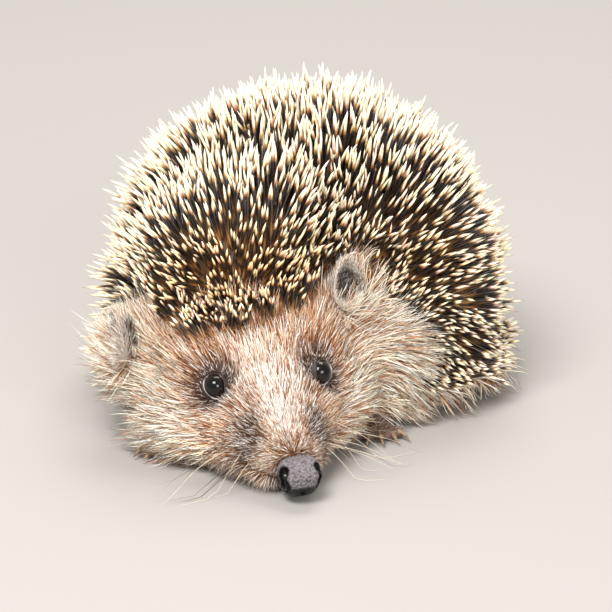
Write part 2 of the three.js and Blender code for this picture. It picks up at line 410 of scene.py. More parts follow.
def lid(side):
    """The lids of one eye as a ball over it, before the opening is cut."""
    bpy.ops.mesh.primitive_uv_sphere_add(segments=48, ring_count=24, radius=LID_RADIUS * MM)
    wall = newest()
    stand(wall, eye_middles[side], *eye_ways(side))
    return wall


def draw_out(offset, span):
    """Moves the selected points, and less so what lies within the span of them, in millimetres."""
    bpy.ops.transform.translate(
        value=[v * MM for v in offset], use_proportional_edit=True, proportional_size=span * MM
    )


def open_lid(piece, side):
    """Cuts the room for the eyeball and the almond opening in front of it."""
    bpy.ops.mesh.primitive_uv_sphere_add(segments=48, ring_count=24, radius=LID_INSIDE * MM)
    room = newest()
    bpy.ops.mesh.primitive_cylinder_add(vertices=64, radius=MM, depth=6 * MM)
    almond = newest()
    pick(almond, lambda places: places[:, 0] > 0.98)
    draw_out((CORNER_DRAWN / OPENING_HALF[0], 0, 0), CORNER_SPAN)
    bpy.ops.mesh.select_all(action="SELECT")
    bpy.ops.transform.resize(value=(*OPENING_HALF, 1))
    bpy.ops.transform.translate(value=(0, 0, 3.6 * MM))
    leave_edit()
    for cutter in (room, almond):
        stand(cutter, eye_middles[side], *eye_ways(side))
        apply_modifier(piece, "BOOLEAN", object=cutter, operation="DIFFERENCE", solver="MANIFOLD")
        bpy.data.objects.remove(cutter)


pieces = [(owner, skin)]
for side, name in ((1, "ear_left"), (-1, "ear_right")):
    pieces += zip((name, "head"), ear(side, name))
pieces += [("lid", lid(side)) for side in EYE_LOOK]
pieces += [(name, copy_of(name)) for name in FEET]
labels = np.concatenate([np.broadcast_to(name, len(piece.data.vertices)) for name, piece in pieces])
labelled = np.concatenate([points_of(piece.data) for _, piece in pieces])
label_tree = tree_of(labelled)
skin = joined(*[piece for _, piece in pieces])
apply_modifier(skin, "REMESH", mode="VOXEL", voxel_size=HIDE_VOXEL)
apply_modifier(skin, "SMOOTH", factor=0.5, iterations=3)
apply_modifier(skin, "DECIMATE", ratio=HIDE_KEPT)
for side in EYE_LOOK:
    open_lid(skin, side)
owner = np.array([labels[label_tree.find(p)[1]] for p in points_of(skin.data)])
by_ear = (owner == "head") & (ear_gap(points_of(skin.data) / MM) < EAR_REACH)
owner[by_ear] = "ear_left"

# The mouth: a line pressed in between the upper lip and the lower jaw.
MOUTH_DEEP = 0.8
jaw_share = blurred(skin, (owner == "lower_jaw").astype(float), 3)
_, ahead, _ = on_head(points_of(skin.data) / MM)
mouth = 4 * jaw_share * (1 - jaw_share) * ramp(ahead, 12, 16)
vertex_group(skin, "mouth", mouth)
apply_modifier(skin, "DISPLACE", strength=-MOUTH_DEEP * MM, mid_level=0, vertex_group="mouth")
select_only(skin)
bpy.ops.object.shade_smooth()

# Colours of the coat by place, linear. They serve the skin and every tuft alike.
CREAM = np.array((0.95, 0.80, 0.60))
WHITE = np.array((0.88, 0.86, 0.84))
PALE = np.array((0.98, 0.85, 0.69))
TAN = np.array((0.80, 0.50, 0.27))
RUST = np.array((0.46, 0.20, 0.075))
BROWN = np.array((0.13, 0.065, 0.035))
DARK = np.array((0.03, 0.017, 0.012))


def mix(a, b, share):
    """Colours a and b mixed by a share for each row."""
    return a + (b - a) * share[:, None]


def coat_colour(points):
    """The fur's colour at places in millimetres: blaze, mask, cheeks, muzzle, then the body's cream."""
    across, ahead, up = on_head(points)
    side = np.abs(across)
    eye_gap, _ = nearest_eye(points)
    colour = np.tile(PALE, (len(points), 1))
    # Shoulders and flanks: painted shadow in dark brown under the belly near the floor, cream below, tan
    # towards the back.
    high = ramp(points[:, 2], 12, 32)
    colour = mix(colour, TAN * 0.9 + RUST * 0.1, 0.6 * high)
    # Painted shadow: the coat darkens to brown near the floor, for the shade under the belly.
    colour = mix(colour, BROWN, 0.9 * (1 - ramp(points[:, 2], 5, 10)))
    head_share = ramp(ahead, -34, -22)
    face = np.tile(TAN * 0.6 + PALE * 0.4, (len(points), 1))
    # Cheeks: rusty tan behind the mask, cream lower down and outwards.
    outer = ramp(side, 15, 23) * (1 - 0.6 * ramp(points[:, 2], 14, 28))
    pale_cheek = np.clip(outer + ramp(-up, 5, 11), 0, 1) * ramp(-ahead, -14, -6)
    face = mix(face, PALE, 0.95 * pale_cheek)
    # Brow: tan to rust up against the quills.
    brow = ramp(-ahead, 1, 9) * (1 - ramp(side, 20, 28)) * ramp(up, -4, 6)
    face = mix(face, TAN * 0.5 + RUST * 0.5, brow)
    # Blaze: white between the eyes, widest on the brow, down to the muzzle.
    blaze_half = 9 + 0.35 * np.maximum(-ahead, 0) - 0.33 * np.maximum(ahead, 0)
    blaze = (1 - ramp(side, 0.5 * blaze_half, 1.3 * blaze_half)) * (0.04 + 0.96 * ramp(ahead, -7, 6))
    blaze *= (1 - ramp(ahead, 19.5, 23.5)) * ramp(up, -6, 0)
    # Mask: dark round the eyes and down the muzzle's sides to its tip.
    round_eye = 1 - ramp(eye_gap, 4.2, 8.2)
    down_side = ramp(side, 3, 6) * (1 - ramp(side, 8.5, 11.5)) * ramp(up, -13, -6)
    down_side *= ramp(ahead, 1, 8) * (0.45 + 0.55 * ramp(ahead, 10, 14)) * (1 - 0.8 * ramp(ahead, 19, 23))
    snout = ramp(ahead, 19, 23)
    face = mix(face, WHITE, 0.8 * blaze)
    face = mix(face, BROWN * 0.75 + DARK * 0.25, 0.97 * down_side * (1 - 0.8 * blaze))
    face = mix(face, TAN * 0.3 + BROWN * 0.9, 0.75 * snout * (1 - ramp(side, 3, 5.5)))
    face = mix(face, CREAM * 0.9, 0.65 * snout * ramp(side, 4, 6))
    face = mix(face, CREAM, 0.8 * ramp(-up, 9, 12) * ramp(ahead, 2, 8))
    face = mix(face, BROWN * 0.5 + DARK * 0.5, round_eye * (1 - 0.35 * blaze))
    return mix(colour, face, head_share)


def tint(mesh, colours):
    """Writes one colour for each vertex to the attribute that the material reads."""
    layer = mesh.color_attributes.new("tint", "FLOAT_COLOR", "POINT")
    rows = np.ones((len(colours), 4), np.float32)
    rows[:, :3] = colours
    layer.data.foreach_set("color", rows.ravel())


EAR_RIM = np.array((0.86, 0.79, 0.69))
EAR_DARK = np.array((0.07, 0.06, 0.05))


def ear_colour(places):
    """An ear's colour at places in millimetres: pale round the rim and outside, dark in the cup."""
    colour = np.tile(EAR_RIM, (len(places), 1))
    for name, look in EAR_OPEN.items():
        opening = unit(head_vector(*look))
        offset = places - middle_of(name) - EAR_SHIFT[name]
        along = offset @ opening
        out = np.linalg.norm(offset - along[:, None] * opening, axis=1)
        cup = (1 - ramp(out, 3.0, 4.6)) * (along > -6) * (out < 9)
        colour = mix(colour, EAR_DARK, np.where(np.linalg.norm(offset, axis=1) < 12, cup, 0))
    return colour


# Feet and tail skin: dark brown, partly its own tone and partly painted shade under the body.
FOOT_SKIN_AND_SHADE = np.array((0.12, 0.07, 0.05))
# Painted shade: the hide is the coat's colour darkened and reddened, for the shade between the hairs.
hide = coat_colour(points_of(skin.data) / MM) * np.array((0.34, 0.21, 0.14))
hide[np.isin(owner, ["back", "crown"])] = BROWN * 0.55
hide[owner == "lid"] = DARK * 0.8
on_ear = np.char.startswith(owner, "ear")
hide[on_ear] = 0.6 * ear_colour(points_of(skin.data)[on_ear] / MM)
hide[np.isin(owner, FEET + ["tail"])] = FOOT_SKIN_AND_SHADE
tint(skin.data, mix(hide, DARK, ramp(mouth, 0.3, 0.9)))

bpy.ops.object.mode_set(mode="EDIT")
bpy.ops.mesh.select_all(action="SELECT")
bpy.ops.uv.smart_project(angle_limit=math.radians(75), island_margin=0.001)
leave_edit()
skin.data.uv_layers[0].name = "OFBake"


def attribute_node(nodes, name):
    """A node that reads this attribute of the mesh."""
    node = nodes.new("ShaderNodeAttribute")
    node.attribute_name = name
    return node


def placed_texture(nodes, links, kind, size):
    """A texture node on the piece's own coordinates, with features of this size in metres."""
    node = nodes.new(kind)
    node.inputs["Scale"].default_value = 1 / size
    place = nodes.new("ShaderNodeTexCoord")
    links.new(place.outputs["Object"], node.inputs["Vector"])
    return node


def ranged(nodes, links, source, to_min, to_max, from_max=1):
    """A value from 0 to from_max, carried over to between these two."""
    node = nodes.new("ShaderNodeMapRange")
    node.inputs["From Max"].default_value = from_max
    node.inputs["To Min"].default_value = to_min
    node.inputs["To Max"].default_value = to_max
    links.new(source, node.inputs["Value"])
    return node.outputs["Result"]


def scaled_colour(nodes, links, colour, scale, target):
    """Carries a colour times a value into a socket."""
    node = nodes.new("ShaderNodeVectorMath")
    node.operation = "SCALE"
    links.new(colour, node.inputs[0])
    links.new(scale, node.inputs["Scale"])
    links.new(node.outputs["Vector"], target)


def tinted_material(name, roughness, grain, grain_size, bump):
    """A material that reads the tint attribute, with a fine noise over it and in its bump."""
    material, nodes, links, shader = plain_material(name, roughness)
    tint_node = attribute_node(nodes, "tint")
    noise = placed_texture(nodes, links, "ShaderNodeTexNoise", grain_size)
    noise.inputs["Detail"].default_value = 3
    shade = ranged(nodes, links, noise.outputs["Fac"], 1 - grain, 1 + grain)
    scaled_colour(nodes, links, tint_node.outputs["Color"], shade, shader.inputs["Base Color"])
    rough = nodes.new("ShaderNodeBump")
    rough.inputs["Strength"].default_value = bump
    rough.inputs["Distance"].default_value = 0.3 * MM
    links.new(noise.outputs["Fac"], rough.inputs["Height"])
    links.new(rough.outputs["Normal"], shader.inputs["Normal"])
    return material, shader


skin_material, _ = tinted_material("hide", 0.62, 0.35, 1.1 * MM, 0.5)
skin.data.materials.clear()
skin.data.materials.append(skin_material)
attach(skin, "root")
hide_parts(*FLESH)


# ---------------- eyes
# Round wet eyes, near black, with a pupil that is darker still. A thin wet rim of membrane shows
# along each lid, pale below, partly its own tone and partly painted highlight, and dark above as
# painted shade under the lid. Each eye is a ball whose front is drawn out a little.
CORNEA_RISE = 0.28
PUPIL_HALF = 1.5
IRIS_TONES = ((0.003, 0.002, 0.002), (0.012, 0.007, 0.005))
PUPIL_TONES = ((0.002, 0.002, 0.002), (0.003, 0.003, 0.003))
RIM_PALE_AND_LIT = np.array((0.38, 0.32, 0.31))
EYE_IOR = 1.42
RIM_HALF = (3.1, 2.56)
RIM_THICK = 0.25
RIM_FORWARD = 1.3
RIM_WRAP = 0.8
DRAWN_SPAN = 2.6


def grained_material(name, tones, grain_size, roughness):
    """A material that drifts between two tones with a noise of this size, in millimetres."""
    material, nodes, links, shader = plain_material(name, roughness)
    noise = placed_texture(nodes, links, "ShaderNodeTexNoise", grain_size * MM)
    shades = nodes.new("ShaderNodeValToRGB")
    for element, position, tone in zip(shades.color_ramp.elements, (0.35, 0.65), tones):
        element.position = position
        element.color = (*tone, 1)
    links.new(noise.outputs["Fac"], shades.inputs["Fac"])
    links.new(shades.outputs["Color"], shader.inputs["Base Color"])
    return material, shader


eye_material, eye_shader = grained_material("wet_eye", IRIS_TONES, 0.5, 0.05)
eye_shader.inputs["IOR"].default_value = EYE_IOR
pupil_material, pupil_shader = grained_material("pupil", PUPIL_TONES, 0.5, 0.04)
pupil_shader.inputs["IOR"].default_value = EYE_IOR
rim_material, rim_shader = tinted_material("wet_rim", 0.15, 0.2, 0.4 * MM, 0.1)
rim_shader.inputs["Coat Weight"].default_value = 0.3
rim_shader.inputs["Coat Roughness"].default_value = 0.05

for side in EYE_LOOK:
    bpy.ops.mesh.primitive_uv_sphere_add(segments=56, ring_count=32, radius=EYE_RADIUS * MM)
    ball = newest()
    pick(ball, lambda places: places[:, 2] > 0.97 * EYE_RADIUS)
    draw_out((0, 0, CORNEA_RISE), DRAWN_SPAN)
    leave_edit()
    bpy.ops.object.shade_smooth()
    ball.data.materials.append(eye_material)
    ball.data.materials.append(pupil_material)
    for face in ball.data.polygons:
        if face.center.z > 0 and face.center.xy.length < PUPIL_HALF * MM:
            face.material_index = 1
    bpy.ops.mesh.primitive_torus_add(
        major_radius=MM, minor_radius=RIM_THICK / RIM_HALF[0] * MM, major_segments=56, minor_segments=10
    )
    rim = newest()
    rim.scale = (*RIM_HALF, RIM_HALF[0])
    pick(rim, lambda places: np.abs(places[:, 1]) > 0.92)
    draw_out((0, 0, RIM_WRAP), DRAWN_SPAN)
    leave_edit()
    bpy.ops.object.shade_smooth()
    x, y, _ = points_of(rim.data).T / MM
    # Painted light on the rim: pale along its lower side, partly painted highlight, and dark along its
    # upper side as painted shade under the lid.
    below = ramp(0.35 * x + (y if side == "left" else -y), 0.1, 0.7)
    tint(rim.data, mix(np.tile(DARK, (len(below), 1)), RIM_PALE_AND_LIT, below))
    rim.data.materials.append(rim_material)
    rim.location = (0, 0, RIM_FORWARD * MM)
    corner, brow, gaze = eye_ways(side)
    ball.name = f"eyeball_{side}"
    rim.name = f"eye_rim_{side}"
    for piece in (ball, rim):
        stand(piece, eye_middles[side], corner, brow, gaze)
        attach(piece, "root")
    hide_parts(f"eye_{side}")

# ---------------- nose
# A leathery pad, blunt and a little boxy, pebbled and grey on top, black and wet below, with a
# comma of a nostril cut into each side and a groove down its front.
PAD_HALF = (5.2, 4.3, 4.4)
PAD_ROUND = 3.3
PAD_AT = (0.85, 0.2, -0.5)
NOSTRIL_HALF = (1.0, 3.1, 1.5)
NOSTRIL_AT = (3.8, 2.4, 1.1)
NOSTRIL_TURN = -43
PIT_RADIUS = 1.55
PIT_AT = (3.9, 0.6, 2.6)
GROOVE_HALF = (0.35, 1.2, 2.8)
GROOVE_AT = (0, 4.2, -2.4)
GROOVE_TURN = 20
PEBBLE = 0.5
WET_SPOTS = (NOSTRIL_AT, PIT_AT, (4.2, 3.4, -0.4), (3.1, 3.9, -1.8))

bpy.ops.mesh.primitive_cube_add(size=2 * MM)
pad = newest()
pad.name = "nose_pad"
bpy.ops.object.mode_set(mode="EDIT")
bpy.ops.transform.resize(value=PAD_HALF)
bpy.ops.mesh.bevel(offset=PAD_ROUND * MM, segments=8, affect="EDGES")
leave_edit()
pick(pad, lambda places: places[:, 2] < -0.5)
bpy.ops.transform.resize(value=(0.88, 0.95, 1))
leave_edit()
apply_modifier(pad, "SUBSURF", levels=1)
apply_modifier(pad, "CAST", cast_type="SPHERE", factor=0.22, use_radius_as_size=True)


def hollow(piece, half, at, turn=0):
    """Cuts an ellipsoid hollow into a piece; turn tips it about the first direction, in degrees."""
    bpy.ops.mesh.primitive_uv_sphere_add(segments=32, ring_count=20, radius=MM)
    cutter = newest()
    cutter.scale = half
    cutter.rotation_euler = (math.radians(turn), 0, 0)
    cutter.location = Vector(at) * MM
    select_only(cutter)
    bpy.ops.object.transform_apply(location=True, rotation=True, scale=True)
    apply_modifier(piece, "BOOLEAN", object=cutter, operation="DIFFERENCE", solver="EXACT")
    bpy.data.objects.remove(cutter)


for side in (-1, 1):
    hollow(pad, NOSTRIL_HALF, (side * NOSTRIL_AT[0], *NOSTRIL_AT[1:]), NOSTRIL_TURN)
    hollow(pad, (PIT_RADIUS,) * 3, (side * PIT_AT[0], *PIT_AT[1:]))
hollow(pad, GROOVE_HALF, GROOVE_AT, GROOVE_TURN)
apply_modifier(pad, "REMESH", mode="VOXEL", voxel_size=0.22 * MM)
apply_modifier(pad, "SMOOTH", factor=0.5, iterations=5)
pad_places = points_of(pad.data) / MM
wet = ramp(0.72 * pad_places[:, 1] - 0.68 * pad_places[:, 2], 1.9, 2.6)
nostril_gap = np.full(len(pad_places), 9.0)
for side in (-1, 1):
    for at in WET_SPOTS:
        place = np.array((side * at[0], at[1], at[2]))
        nostril_gap = np.minimum(nostril_gap, np.linalg.norm(pad_places - place, axis=1))
wet = np.maximum(wet, 1 - ramp(nostril_gap, 1.5, 2.3))
wet = np.maximum(wet, ramp(np.abs(pad_places[:, 0]), 3.6, 4.3) * ramp(pad_places[:, 1], -1.5, 0.5))
select_only(pad)
bpy.ops.object.shade_smooth()
NOSE_GREY = np.array((0.24, 0.21, 0.22))
NOSE_BLACK = np.array((0.012, 0.009, 0.009))
tint(pad.data, mix(np.tile(NOSE_GREY, (len(wet), 1)), NOSE_BLACK, wet))
wet_layer = pad.data.attributes.new("wet", "FLOAT", "POINT")
wet_layer.data.foreach_set("value", (1 - ramp(nostril_gap, 1.6, 2.6)).astype(np.float32))

nose_material, nose_nodes, nose_links, nose_shader = plain_material("nose_leather", 0.4)
nose_shader.inputs["Specular IOR Level"].default_value = 0.22
nose_tint = attribute_node(nose_nodes, "tint")
pebbles = placed_texture(nose_nodes, nose_links, "ShaderNodeTexVoronoi", PEBBLE * MM)
pebbles.feature = "SMOOTH_F1"
pebble_bump = nose_nodes.new("ShaderNodeBump")
pebble_bump.invert = True
pebble_bump.inputs["Distance"].default_value = 0.7 * MM
nose_links.new(pebbles.outputs["Distance"], pebble_bump.inputs["Height"])
nose_links.new(pebble_bump.outputs["Normal"], nose_shader.inputs["Normal"])
# Painted shade in the creases between the pebbles, and paler pebble tops as painted highlight.
painted_crease_shade = ranged(nose_nodes, nose_links, pebbles.outputs["Distance"], 1.25, 0.3, 0.75)
nose_colour = nose_tint.outputs["Color"]
scaled_colour(nose_nodes, nose_links, nose_colour, painted_crease_shade, nose_shader.inputs["Base Color"])
wetness = attribute_node(nose_nodes, "wet")
gloss = ranged(nose_nodes, nose_links, wetness.outputs["Fac"], 0.4, 0.16)
nose_links.new(gloss, nose_shader.inputs["Roughness"])
relief = ranged(nose_nodes, nose_links, wetness.outputs["Fac"], 1, 0.25)
nose_links.new(relief, pebble_bump.inputs["Strength"])
pad.data.materials.append(nose_material)
stand(pad, nose_middle + head_vector(*PAD_AT), ACROSS, AHEAD, UP)
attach(pad, "root")
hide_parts("nose")

# ---------------- claws
# Five curved horn claws on each foot, drifting between dark and paler brown. One is a cone bent
# down, and each toe gets a copy of its mesh.
CLAW_ROOT = 0.75
CLAW_TIP = 0.12
CLAW_LENGTH = 4.6
CLAW_BEND = 38
CLAW_DROP = 14
TOE_SPREAD = 15
FORE_TOES = {"half": 5, "length": 15, "toe": 5}
HIND_TOES = {"half": 5, "length": 24, "toe": 5.5}
FOOT_PLACES = {  # millimetres across and along the floor, and the turn in degrees
    "forefoot_left": (17.5, -26.39, 8),
    "forefoot_right": (-32.5, -38.39, -10),
    "hindfoot_left": (36.5, 30.61, 16),
    "hindfoot_right": (-32.5, 28.61, -14),
}

claw_material, _ = grained_material("claw_horn", ((0.11, 0.06, 0.035), (0.38, 0.27, 0.17)), 0.9, 0.32)

bpy.ops.mesh.primitive_cone_add(
    vertices=12, radius1=CLAW_ROOT * MM, radius2=CLAW_TIP * MM, depth=CLAW_LENGTH * MM
)
claw = newest()
bpy.ops.object.mode_set(mode="EDIT")
bpy.ops.mesh.select_all(action="SELECT")
bpy.ops.mesh.subdivide(number_cuts=4)
leave_edit()
apply_modifier(
    claw, "SIMPLE_DEFORM", deform_method="BEND", deform_axis="X", angle=-math.radians(CLAW_BEND)
)
claw.rotation_euler = (math.pi / 2, 0, 0)
bpy.ops.object.transform_apply(location=True, rotation=True, scale=True)
claw.data.materials.append(claw_material)
for name, (x, y, turn) in FOOT_PLACES.items():
    toes = FORE_TOES if name.startswith("fore") else HIND_TOES
    claws = []
    for i in range(-2, 3):
        spread = math.radians(TOE_SPREAD * i)
        reach = toes["toe"] * (1 - 0.09 * i * i)
        toe_root = Vector((i * toes["half"] * 0.36, -toes["length"] * 0.3, 0))
        tip = Vector((0, -reach - 1.6, 1.8))
        tip.rotate(Matrix.Rotation(spread, 3, "Z"))
        place = toe_root + tip
        place.rotate(Matrix.Rotation(math.radians(turn), 3, "Z"))
        way = Matrix.Rotation(spread + math.radians(turn), 3, "Z")
        way = way @ Matrix.Rotation(math.radians(CLAW_DROP), 3, "X")
        one = duplicate(claw)
        stand(one, np.array(place) + (x, y, 0), *np.array(way).T)
        claws.append(one)
    paw = joined(*claws)
    paw.name = f"claws_{name}"
    bpy.ops.object.shade_smooth()
    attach(paw, "root")
bpy.data.objects.remove(claw)

# ---------------- quills
# About 6,800 horn spines, most of them 9 to 15 mm long, from the brow over the whole back, and a
# thousand of them shorter. Each is a five-sided spindle with a waist at the root and a sharp tip:
# cream tip, dark band, amber shaft, tan root. They rise from the skin, away from the snout.
rng = np.random.default_rng(7)
PATCH = 0.003  # the width of one tuft's place on the unwrap
FLOOR_CLEAR = 1.4  # millimetres over the floor where hair begins to bend along it
FLOOR_REST = 0.35  # the lowest that it comes

skin.data.calc_loop_triangles()
triangles = rows_of(skin.data.loop_triangles, "vertices", 3, np.int32)
triangle_loops = rows_of(skin.data.loop_triangles, "loops", 3, np.int32)
unwrap = rows_of(skin.data.uv_layers["OFBake"].uv, "vector", 2)
skin_points = points_of(skin.data) / MM
skin_normals = unit(points_of(skin.data, "normal"))
triangle_owner = owner[triangles[:, 0]]
corners = skin_points[triangles]
areas = np.linalg.norm(np.cross(corners[:, 1] - corners[:, 0], corners[:, 2] - corners[:, 0]), axis=1) / 2


def roots_on(parts, count, density=None, spacing=0):
    """Random roots on the skin of these parts: places, normals and unwrap places, in millimetres."""
    weights = areas * np.isin(triangle_owner, parts)
    if density is not None:
        weights = weights * density(corners.mean(axis=1))
    chosen = rng.choice(len(areas), count, p=weights / weights.sum())
    share = rng.random((count, 2))
    over = share.sum(axis=1) > 1
    share[over] = 1 - share[over]
    share = np.column_stack([1 - share.sum(axis=1), share])[:, :, None]
    places = (corners[chosen] * share).sum(axis=1)
    normals = unit((skin_normals[triangles[chosen]] * share).sum(axis=1))
    patches = (unwrap[triangle_loops[chosen]] * share).sum(axis=1)
    if spacing:
        tree = tree_of(places)
        kept = np.ones(count, bool)
        for i, place in enumerate(places):
            if kept[i]:
                for _, j, _ in tree.find_range(place, spacing):
                    if j > i:
                        kept[j] = False
        places, normals, patches = places[kept], normals[kept], patches[kept]
    return places, normals, patches


def strands(name, roots, headings, bends, lengths, widths, profile, sides, colours, material, tips=1.0):
    """One coat piece: a closed tapered strand at each root, with its colours and its unwrap patches.

    headings are the directions at the root and bends how far the tip is carried off, both in rows.
    profile is rows of (share of the length, share of the width) up to the pointed tip.
    colours takes (shares along, rows) and gives the colour there, and tips below 1 draw the bands
    of a banded material down from the point.
    """
    places, _, patches = roots
    count = len(places)
    rings = len(profile)
    along = np.array([p[0] for p in profile] + [1.0])
    girth = np.array([p[1] for p in profile])
    spines = places[:, None] + lengths[:, None, None] * (
        along[None, :, None] * headings[:, None] + along[None, :, None] ** 2 * bends[:, None]
    )
    low = spines[:, :, 2] < FLOOR_CLEAR
    room = FLOOR_CLEAR - FLOOR_REST
    pressed = FLOOR_REST + room * np.exp((spines[:, :, 2] - FLOOR_CLEAR) / room)
    spines[:, :, 2] = np.where(low, pressed, spines[:, :, 2])
    runs = unit(np.gradient(spines, axis=1))[:, :rings]
    aside = unit(np.cross(runs, rng.normal(size=(count, 1, 3))))
    other = np.cross(runs, aside)
    turns = np.arange(sides) * 2 * math.pi / sides
    wheel = np.cos(turns)[:, None] * aside[:, :, None] + np.sin(turns)[:, None] * other[:, :, None]
    radii = 0.5 * widths[:, None] * girth[None]
    shell = spines[:, :rings, None] + wheel * radii[:, :, None, None]
    per = rings * sides + 1
    points = np.concatenate([shell.reshape(count, -1, 3), spines[:, rings:]], axis=1)

    faces = [[sides - 1 - i for i in range(sides)]]
    for ring in range(rings - 1):
        for i in range(sides):
            a, b = ring * sides + i, ring * sides + (i + 1) % sides
            faces.append([a, b, b + sides, a + sides])
    for i in range(sides):
        faces.append([(rings - 1) * sides + i, (rings - 1) * sides + (i + 1) % sides, per - 1])
    pattern = np.concatenate(faces)
    totals = np.array([len(f) for f in faces])
    loop_points = (pattern[None] + per * np.arange(count)[:, None]).ravel()
    starts = np.concatenate([[0], np.cumsum(np.tile(totals, count))[:-1]])

    mesh = bpy.data.meshes.new(name)
    mesh.vertices.add(count * per)
    mesh.vertices.foreach_set("co", (points * MM).astype(np.float32).ravel())
    mesh.loops.add(len(loop_points))
    mesh.loops.foreach_set("vertex_index", loop_points.astype(np.int32))
    mesh.polygons.add(len(starts))
    mesh.polygons.foreach_set("loop_start", starts.astype(np.int32))
    mesh.polygons.foreach_set("use_smooth", np.ones(len(starts), bool))
    mesh.update(calc_edges=True)

    shares = np.append(np.repeat(along[:rings], sides), 1.0)
    tint(mesh, colours(np.tile(shares, count), np.repeat(np.arange(count), per)))
    reach = mesh.attributes.new("along", "FLOAT", "POINT")
    bands_at = 1 - (1 - np.tile(shares, count)) * np.repeat(np.broadcast_to(tips, count), per)
    reach.data.foreach_set("value", bands_at.astype(np.float32))
    around = np.append(np.tile(np.arange(sides) / (sides - 1), rings), 0.5)
    patch = patches[:, None] + PATCH * (np.column_stack([around, shares]) - 0.5)
    layer = mesh.uv_layers.new(name="OFBake")
    layer.uv.foreach_set("vector", patch.reshape(-1, 2)[loop_points].astype(np.float32).ravel())

    piece = bpy.data.objects.new(name, mesh)
    bpy.context.collection.objects.link(piece)
    mesh.materials.append(material)
    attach(piece, "root")


nose_root = nose_middle + 4 * UP
CROWN_FRONT = np.array((-18, -42, 48))
CROWN_SPAN = 30
CROWN_SOURCE_DOWN = 60
SKIRT_FALL = 1.3
RUMP_FALL = 1.2


def lie_of(places, normals):
    """The way the coat lies: along the skin, away from the snout, and round the eyes."""
    crown_share = np.exp(-(np.linalg.norm(places - CROWN_FRONT, axis=1) / CROWN_SPAN) ** 2)
    crown_share *= ramp(-on_head(places)[1], 10, 24)
    source = nose_root - CROWN_SOURCE_DOWN * crown_share[:, None] * np.array((0, 0, 1))
    flow = unit(places - source)
    eye_gap, away = nearest_eye(places)
    share = (0.9 * np.exp(-((eye_gap / 6.0) ** 2)))[:, None]
    flow = unit(flow * (1 - share) + away * share)
    flow[:, 2] -= SKIRT_FALL * ramp(-places[:, 2], -34, -12) * ramp(places[:, 1], -35, -10)
    flow[:, 2] -= RUMP_FALL * ramp(places[:, 1], 15, 60)
    return unit(flow - (flow * normals).sum(axis=1, keepdims=True) * normals)


def raised(places, normals, lift, scatter):
    """Headings lifted from the lie of the coat by some degrees, each strewn a little."""
    angle = np.radians(lift)[:, None]
    straight = np.cos(angle) * lie_of(places, normals) + np.sin(angle) * normals
    return unit(straight + scatter * rng.normal(size=straight.shape))


QUILL_LENGTH = 14
BROW_LENGTH = 9.5
QUILL_WIDTH = 0.8
QUILL_SPACING = 1.22
QUILL_SIDES = 5
QUILL_PROFILE = [(0, 0.4), (0.16, 0.8), (0.6, 1.0), (0.88, 0.74)]
EAR_CLEAR = 4.8
SHORT_QUILLS = 1000
QUILL_TRIES = 40000
QUILL_CLUMPS = 420
BROW_LIFT = 60
BACK_LIFT_LESS = 19
BROW_AMBER = np.array((1.0, 0.80, 0.56))

quill_material, quill_nodes, quill_links, quill_shader = plain_material("spine_horn", 0.38)
reach_node = attribute_node(quill_nodes, "along")
bands = quill_nodes.new("ShaderNodeValToRGB")
QUILL_BANDS = [
    (0.0, (0.46, 0.31, 0.16)),
    (0.3, (0.40, 0.20, 0.07)),
    (0.42, (0.12, 0.055, 0.022)),
    (0.52, (0.025, 0.016, 0.012)),
    (0.74, (0.022, 0.015, 0.012)),
    (0.79, (0.40, 0.20, 0.07)),
    (0.84, (0.90, 0.76, 0.54)),
    (1.0, (0.95, 0.86, 0.68)),
]
while len(bands.color_ramp.elements) < len(QUILL_BANDS):
    bands.color_ramp.elements.new(0.5)
for element, (position, tone) in zip(bands.color_ramp.elements, QUILL_BANDS):
    element.position = position
    element.color = (*tone, 1)
quill_links.new(reach_node.outputs["Fac"], bands.inputs["Fac"])
own = attribute_node(quill_nodes, "tint")
dyed = quill_nodes.new("ShaderNodeMix")
dyed.data_type = "RGBA"
dyed.blend_type = "MULTIPLY"
dyed.inputs["Factor"].default_value = 1
quill_links.new(bands.outputs["Color"], dyed.inputs["A"])
quill_links.new(own.outputs["Color"], dyed.inputs["B"])
quill_links.new(dyed.outputs["Result"], quill_shader.inputs["Base Color"])


def clumps(places, count, amount):
    """For each root, a push shared by all that lie round one of many random middles, and that middle."""
    middles = places[rng.choice(len(places), count, replace=False)]
    tree = tree_of(middles)
    nearest = np.array([tree.find(place)[1] for place in places])
    pushes = amount * rng.normal(size=(count, 3))
    return pushes[nearest], middles[nearest]


long_roots = roots_on(["back", "crown"], QUILL_TRIES, spacing=QUILL_SPACING)
clear = ear_gap(long_roots[0]) > EAR_CLEAR
long_roots = tuple(r[clear] for r in long_roots)


def among(places):
    """Where the short quills grow: here and there among the long ones, and more at the brow."""
    _, ahead, _ = on_head(places)
    return 0.15 + 0.7 * ramp(-ahead, 12, 17) * (1 - ramp(-ahead, 26, 36))


short_roots = roots_on(["back", "crown"], SHORT_QUILLS, among)
quill_roots = tuple(np.concatenate(both) for both in zip(long_roots, short_roots))
quill_places, quill_normals, _ = quill_roots
count = len(quill_places)
_, quill_ahead, _ = on_head(quill_places)
behind_brow = ramp(-quill_ahead, 17, 38)
quill_tone = rng.normal(1, 0.1, (count, 1)) * (1 + 0.05 * rng.normal(size=(count, 3)))
amber = (1 - behind_brow) * ramp(quill_places[:, 2], 26, 40)
quill_tone *= mix(np.ones((count, 3)), BROW_AMBER, amber)
